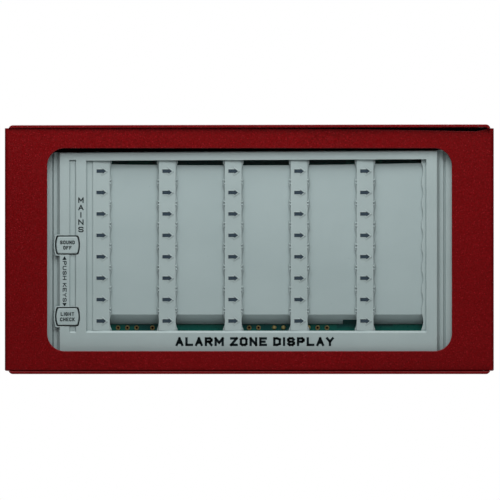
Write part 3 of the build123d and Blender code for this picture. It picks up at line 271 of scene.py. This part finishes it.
def smoked_lens():
    """Dark blue-grey acrylic with a polished face, fine scratches and a little dust."""
    finish = Finish("smoked_lens", specular=0.5, coat=0.3, coat_roughness=0.12)
    colour = finish.mix(finish.noise(4 * MM, 2.0), shade(0.020, 0.034, 0.048), shade(0.034, 0.055, 0.074))
    dust = finish.spread(finish.noise(0.3 * MM, 2.0), 0.0, 0.35, 0.55, 0.8)
    colour = finish.mix(dust, colour, shade(0.10, 0.13, 0.15))
    roughness = finish.spread(finish.noise(0.8 * MM, 3.0, (1.0, 1.0, 8.0)), 0.22, 0.40, 0.3, 0.7)
    return finish.build(colour, roughness, finish.relief([(finish.noise(3 * MM), 0.02 * MM)], 0.12 * MM))


def lamp_epoxy():
    """Tinted lamp epoxy: deep red with a slightly cloudy inside."""
    finish = Finish("lamp_epoxy", specular=0.5, coat=0.4, coat_roughness=0.08)
    finish.shader.inputs["Transmission Weight"].default_value = 0.25
    colour = finish.mix(finish.noise(1.2 * MM), shade(0.42, 0.02, 0.015), shade(0.60, 0.06, 0.04))
    roughness = finish.spread(finish.noise(0.6 * MM), 0.12, 0.25)
    return finish.build(colour, roughness, finish.relief([(finish.noise(1.5 * MM), 0.01 * MM)], 0.1 * MM))


TRACK_WAVE = 1.27 * MM  # the tracks repeat every 2 pi times this
WAVE_FACTOR = 20  # built into the wave texture
FACE_SKIN = 0.02 * MM  # within this of a face, the board counts as face and not as cut edge


def board_laminate():
    """Green solder mask over glass laminate, with raised copper tracks and the weave just showing."""
    finish = Finish("solder_mask", specular=0.5, coat=0.25, coat_roughness=0.15)
    across = finish.node(
        "ShaderNodeTexWave",
        {"Vector": finish.place, "Scale": 1.0 / (WAVE_FACTOR * TRACK_WAVE), "Distortion": 0.0},
        bands_direction="Z",
    ).outputs["Fac"]
    routes = finish.spread(finish.noise(16 * MM, 0.0, (0.35, 1.0, 1.0)), 0.0, 1.0, 0.50, 0.53)
    tracks = finish.maths("MULTIPLY", finish.spread(across, 0.0, 1.0, 0.62, 0.70), routes)
    pour = finish.spread(finish.noise(34 * MM, 0.0), 0.0, 1.0, 0.56, 0.57)
    copper = finish.maths("MAXIMUM", tracks, pour)
    weave = finish.node(
        "ShaderNodeTexChecker",
        {
            "Vector": finish.place,
            "Scale": 1.0 / (0.45 * MM),
            "Color1": shade(0.0, 0.0, 0.0),
            "Color2": PAPER_WHITE,
        },
    ).outputs["Fac"]
    mask = finish.mix(finish.noise(6 * MM), shade(0.0005, 0.075, 0.068), shade(0.001, 0.102, 0.092))
    mask = finish.mix(finish.spread(weave, 0.0, 0.12), mask, shade(0.01, 0.12, 0.10))
    colour = finish.mix(finish.spread(copper, 0.0, 0.85), mask, shade(0.002, 0.150, 0.115))
    low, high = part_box("circuit_board")
    cut_edge = finish.outside(1, low[1] + FACE_SKIN, high[1] - FACE_SKIN)
    colour = finish.mix(finish.spread(cut_edge, 0.8, 0.0), colour, shade(0.16, 0.17, 0.07))
    roughness = finish.spread(finish.noise(1.0 * MM), 0.22, 0.38)
    return finish.build(colour, roughness, finish.relief([(copper, 0.035 * MM), (weave, 0.004 * MM)]))


def metal(name, dark, bright, rough, grain, stretch=None, scratch=0.01):
    """Bare or plated metal with tarnish clouds, fine directional grain and painted shade in its crevices."""
    finish = Finish(name, metallic=1.0)
    lines = finish.noise(grain, 3.0, stretch)
    tarnish = finish.noise(3.5 * MM, 4.0)
    colour = finish.mix(finish.spread(tarnish, 0.0, 1.0, 0.3, 0.7), dark, bright)
    # painted shade: the metal turns near-black in crevices narrower than 0.8 mm
    colour = finish.mix(finish.spread(finish.crevices(0.8 * MM), 0.0, 0.6), colour, shade(0.05, 0.05, 0.05))
    roughness = finish.spread(lines, rough - 0.08, rough + 0.12, 0.3, 0.7)
    return finish.build(colour, roughness, finish.relief([(lines, scratch * MM)], 0.12 * MM))


def moulded_plain(name, dark, bright, rough, leads=None, edge=0.12 * MM):
    """Moulded or dipped plastic in one hue with a painted highlight along its edges; leads is a mask where it
    turns into tinned metal.
    """
    finish = Finish(name, specular=0.45)
    colour = finish.mix(finish.noise(2.2 * MM, 3.0), dark, bright)
    # painted highlight: the plastic turns paler grey along sharp edges
    colour = finish.mix(finish.spread(finish.edges(0.2 * MM), 0.0, 0.25), colour, shade(0.25, 0.25, 0.25))
    roughness = finish.spread(finish.noise(0.5 * MM), rough - 0.08, rough + 0.1)
    if leads:
        tinned = leads(finish)
        colour = finish.mix(tinned, colour, shade(0.55, 0.54, 0.50))
        finish.tree.links.new(tinned, finish.shader.inputs["Metallic"])
        roughness = finish.maths("SUBTRACT", roughness, finish.spread(tinned, 0.0, 0.15))
    return finish.build(colour, roughness, finish.relief([(finish.noise(0.25 * MM), 0.006 * MM)], edge))


def ink():
    """Pad-printed ink: near-black, slightly worn through and a little glossier than the plastic."""
    finish = Finish("printing_ink", specular=0.2)
    wear = finish.spread(finish.noise(0.5 * MM, 4.0), 0.0, 0.3, 0.6, 0.8)
    colour = finish.mix(finish.noise(3 * MM), shade(0.001, 0.005, 0.007), shade(0.003, 0.010, 0.012))
    colour = finish.mix(wear, colour, shade(0.06, 0.08, 0.08))
    roughness = finish.spread(finish.noise(0.4 * MM), 0.35, 0.55)
    return finish.build(colour, roughness, finish.relief([(finish.noise(0.3 * MM), 0.004 * MM)]))


def floor_finish():
    """Plain pale studio floor with a barely visible matt texture."""
    finish = Finish("pale_floor", specular=0.2)
    colour = finish.mix(finish.noise(0.25, 2.0), shade(0.86, 0.86, 0.86), shade(0.90, 0.90, 0.90))
    roughness = finish.spread(finish.noise(0.05), 0.8, 0.95)
    return finish.build(colour, roughness, finish.relief([(finish.noise(2 * MM), 0.05 * MM)]))


GREY = shade(0.300, 0.372, 0.372)
GREY_LIGHT = shade(0.335, 0.408, 0.408)
BACKING_GREY = shade(0.292, 0.365, 0.368)
BACKING_LIGHT = shade(0.322, 0.398, 0.400)
ZINC = (shade(0.42, 0.42, 0.41), shade(0.66, 0.66, 0.64))
NEAR_BLACK = (shade(0.012, 0.012, 0.013), shade(0.024, 0.024, 0.026))

LEAD_REACH = 1.2 * MM  # how far the leads reach in from a chip's outer box


def side_leads(node, indices):
    """Mask of the leads that stand out of a chip's body along the given axes."""
    low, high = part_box(node)

    def mask(finish):
        masks = [finish.outside(i, low[i] + LEAD_REACH, high[i] - LEAD_REACH) for i in indices]
        return masks[0] if len(masks) == 1 else finish.maths("MAXIMUM", *masks)

    return mask


DRIVER_MIDDLE = -81.2 * MM  # X of the first driver chip
DRIVER_PITCH = 36.0 * MM
DRIVER_HALF = 3.75 * MM  # from a driver chip's middle to where its leads start
TAB_BACK = -26.6 * MM  # Y below which the regulator is its tab


def driver_leads(finish):
    """Mask of the leads on both sides of every driver chip."""
    offset = finish.maths("SUBTRACT", finish.axis(0), DRIVER_MIDDLE)
    nearest = finish.maths("SNAP", finish.maths("ADD", offset, DRIVER_PITCH / 2), DRIVER_PITCH)
    distance = finish.maths("ABSOLUTE", finish.maths("SUBTRACT", offset, nearest), 0.0)
    return finish.maths("GREATER_THAN", distance, DRIVER_HALF)


def regulator_tab(finish):
    """Mask of the regulator's mounting tab, which lies on the board."""
    return finish.maths("LESS_THAN", finish.axis(1), TAB_BACK)


slot_finish = {
    "red_paint": powder_coat(),
    "grey_plastic": moulded_grey("grey_moulding", GREY, GREY_LIGHT, 0.2 * MM, 1.2 * MM),
    "smoked_lens": smoked_lens(),
    "led_plastic": lamp_epoxy(),
    "board_green": board_laminate(),
    "gold_plate": metal("gold_plating", shade(0.42, 0.30, 0.12), shade(0.72, 0.56, 0.28), 0.32, 0.4 * MM),
    "solder": metal(
        "gilded_solder", shade(0.62, 0.46, 0.16), shade(0.95, 0.78, 0.36), 0.42, 0.5 * MM, scratch=0.03
    ),
    "brass_sheet": metal(
        "rolled_brass", shade(0.50, 0.34, 0.12), shade(0.74, 0.55, 0.24), 0.35, 0.5 * MM, (1.0, 1.0, 12.0)
    ),
    "zinc_steel": metal("zinc_plate", *ZINC, 0.34, 0.35 * MM, (1.0, 6.0, 1.0)),
    "black_plastic": moulded_plain("black_nylon", *NEAR_BLACK, 0.45),
    "terminal_green": moulded_plain("green_nylon", shade(0.01, 0.15, 0.06), shade(0.02, 0.21, 0.085), 0.42),
    "resistor_red": moulded_plain("dipped_red_epoxy", shade(0.22, 0.03, 0.02), shade(0.32, 0.05, 0.03), 0.35),
}
node_finish = {
    "label_backing": moulded_grey("grey_backing", BACKING_GREY, BACKING_LIGHT, 0.15 * MM, 0.8 * MM),
    "controller_chip": moulded_plain(
        "controller_epoxy", *NEAR_BLACK, 0.5, side_leads("controller_chip", (0, 2))
    ),
    "driver_chips": moulded_plain("driver_epoxy", *NEAR_BLACK, 0.5, driver_leads),
    "voltage_regulator": moulded_plain("regulator_epoxy", *NEAR_BLACK, 0.5, regulator_tab),
}
for row in frame["record"]["subparts"]:
    node = row["node"]
    finish = node_finish.get(node, slot_finish[row["material_slot"]])
    for material_slot in nodes[node].material_slots:
        material_slot.material = finish


# ---------------------------------------------------------------- printed legends
INK_THICKNESS = 0.04 * MM
FASCIA_PRINT = 39.2 * MM  # height above the wall of the printing on the fascia
CAP_PRINT = 39.4 * MM  # and on the buttons' caps
printing = ink()


def ink_plate(shape, outline, height):
    """A flat plate of ink over an outline of (X, Z) points, on the plane at height."""
    near = [shape.verts.new((x, -height - INK_THICKNESS / 2, z)) for x, z in outline]
    far = [shape.verts.new((x, -height + INK_THICKNESS / 2, z)) for x, z in outline]
    shape.faces.new(near)
    shape.faces.new(list(reversed(far)))
    for i in range(len(outline)):
        j = (i + 1) % len(outline)
        shape.faces.new((near[j], near[i], far[i], far[j]))


def ink_piece(name, shape, body):
    """A printed piece on one body, made from shape, with the ink's finish."""
    bmesh.ops.recalc_face_normals(shape, faces=shape.faces)
    mesh = bpy.data.meshes.new(name)
    shape.to_mesh(mesh)
    shape.free()
    mesh.materials.append(printing)
    piece = bpy.data.objects.new(name, mesh)
    bpy.context.collection.objects.link(piece)
    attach(piece, body)


# Strokes of each letter on a grid four squares wide and six tall; a point is its column and row.
STROKES = {
    "A": "00 26 40|12 32",
    "C": "41 30 10 01 05 16 36 45",
    "D": "00 06 26 45 41 20 00",
    "E": "46 06 00 40|03 33",
    "F": "46 06 00|03 33",
    "G": "45 36 16 05 01 10 30 41 43 23",
    "H": "00 06|40 46|03 43",
    "I": "20 26",
    "K": "00 06|46 02|13 40",
    "L": "06 00 40",
    "M": "00 06 22 46 40",
    "N": "00 06 40 46",
    "O": "10 30 41 45 36 16 05 01 10",
    "P": "00 06 36 45 44 33 03",
    "R": "00 06 36 45 44 33 03|23 40",
    "S": "01 10 30 41 42 33 13 04 05 16 36 45",
    "T": "06 46|26 20",
    "U": "06 01 10 30 41 46",
    "Y": "06 23 46|23 20",
    "Z": "06 46 00 40",
}
STROKE_GRID = Vector((4.0, 6.0))
LETTER_WIDTHS = {"I": 0.3, "M": 1.2, " ": 0.3}  # compared with the other letters
LETTER_GAP = 0.24


def ink_bar(shape, start, end, stroke, height):
    """One straight stroke from start to end (X, Z), as a flat bar with square ends."""
    along = (end - start).normalized() * stroke / 2
    side = Vector((-along.y, along.x))
    outline = [start - along - side, end + along - side, end + along + side, start - along + side]
    ink_plate(shape, outline, height)


def legend(name, words, low, high, height, stroke, body="root", turned=False):
    """Printed capitals that fill the box from low to high (X, Z); turned ones read downwards."""
    low, high = Vector(low), Vector(high)
    length, tall = (high.y - low.y, high.x - low.x) if turned else (high.x - low.x, high.y - low.y)
    widths = [LETTER_WIDTHS.get(letter, 1.0) for letter in words]
    unit = length / (sum(widths) + LETTER_GAP * (len(words) - 1))
    shape = bmesh.new()
    reached = 0.0
    for letter, width in zip(words, widths):
        room = Vector((max(width * unit - stroke, 0.0), tall - stroke))
        for line in STROKES.get(letter, "").split("|"):
            spots = []
            for point in line.split():
                column, row = int(point[0]), int(point[1])
                across = reached + stroke / 2 + room.x * column / STROKE_GRID.x
                up = stroke / 2 + room.y * row / STROKE_GRID.y
                spots.append(Vector((low.x + up, high.y - across)) if turned else low + Vector((across, up)))
            for start, end in zip(spots, spots[1:]):
                ink_bar(shape, start, end, stroke, height)
        reached += (width + LETTER_GAP) * unit
    ink_piece(name, shape, body)


def pointer(name, centre, size, upward, height):
    """A small printed triangle that points up or down."""
    width, tall = size
    tip = tall / 2 if upward else -tall / 2
    outline = [(-width / 2, -tip), (width / 2, -tip), (0.0, tip)]
    shape = bmesh.new()
    ink_plate(shape, [(centre[0] + x, centre[1] + z) for x, z in outline], height)
    ink_piece(name, shape, "root")


def millimetres(*values):
    """The same values in metres."""
    return tuple(value * MM for value in values)


legend(
    "legend_title",
    "ALARM ZONE DISPLAY",
    millimetres(-40.3, -52.8),
    millimetres(46.1, -48.0),
    FASCIA_PRINT,
    1.3 * MM,
)
SUPPLY_LEFT, SUPPLY_RIGHT = -93.4, -90.5
SUPPLY_TOP = 28.3
SUPPLY_PITCH = 4.0
SUPPLY_HEIGHT = 3.0
for index, letter in enumerate("MAINS"):
    top = SUPPLY_TOP - index * SUPPLY_PITCH
    legend(
        f"legend_supply_{index + 1}",
        letter,
        millimetres(SUPPLY_LEFT, top - SUPPLY_HEIGHT),
        millimetres(SUPPLY_RIGHT, top),
        FASCIA_PRINT,
        0.58 * MM,
    )
legend(
    "legend_keys",
    "PUSH KEYS",
    millimetres(-101.9, -28.7),
    millimetres(-99.8, -6.4),
    FASCIA_PRINT,
    0.42 * MM,
    turned=True,
)
pointer("legend_pointer_up", millimetres(-100.9, -4.8), millimetres(2.4, 2.0), True, FASCIA_PRINT)
pointer("legend_pointer_down", millimetres(-100.9, -30.25), millimetres(2.4, 1.9), False, FASCIA_PRINT)

CAP_LINE = 2.0  # height of a line of lettering on a button, in millimetres
CAP_GAP = 0.9  # between a button's two lines
for key, body, words in (
    ("silence", "silence_key", (("SOUND", 8.0), ("OFF", 4.6))),
    ("lamp_test", "lamp_test_key", (("LIGHT", 7.4), ("CHECK", 8.0))),
):
    low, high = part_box(f"{key}_button")
    centre = [(low[i] + high[i]) / 2 / MM for i in (0, 2)]
    for line, (word, width) in enumerate(words):
        bottom = centre[1] + (CAP_GAP / 2 if line == 0 else -CAP_GAP / 2 - CAP_LINE)
        legend(
            f"legend_{key}_{line + 1}",
            word,
            millimetres(centre[0] - width / 2, bottom),
            millimetres(centre[0] + width / 2, bottom + CAP_LINE),
            CAP_PRINT,
            0.45 * MM,
            body=body,
        )


# ---------------------------------------------------------------- floor
def pale_floor():
    """A plain round floor under the object, not part of it."""
    shape = bmesh.new()
    level = cad_box[0][2] - FLOOR_DROP
    bmesh.ops.create_circle(
        shape,
        cap_ends=True,
        segments=96,
        radius=FLOOR_RADIUS,
        matrix=Matrix.Translation((0.0, 0.0, level)),
    )
    mesh = bpy.data.meshes.new("floor")
    shape.to_mesh(mesh)
    shape.free()
    mesh.materials.append(floor_finish())
    floor = bpy.data.objects.new("floor", mesh)
    bpy.context.collection.objects.link(floor)


pale_floor()
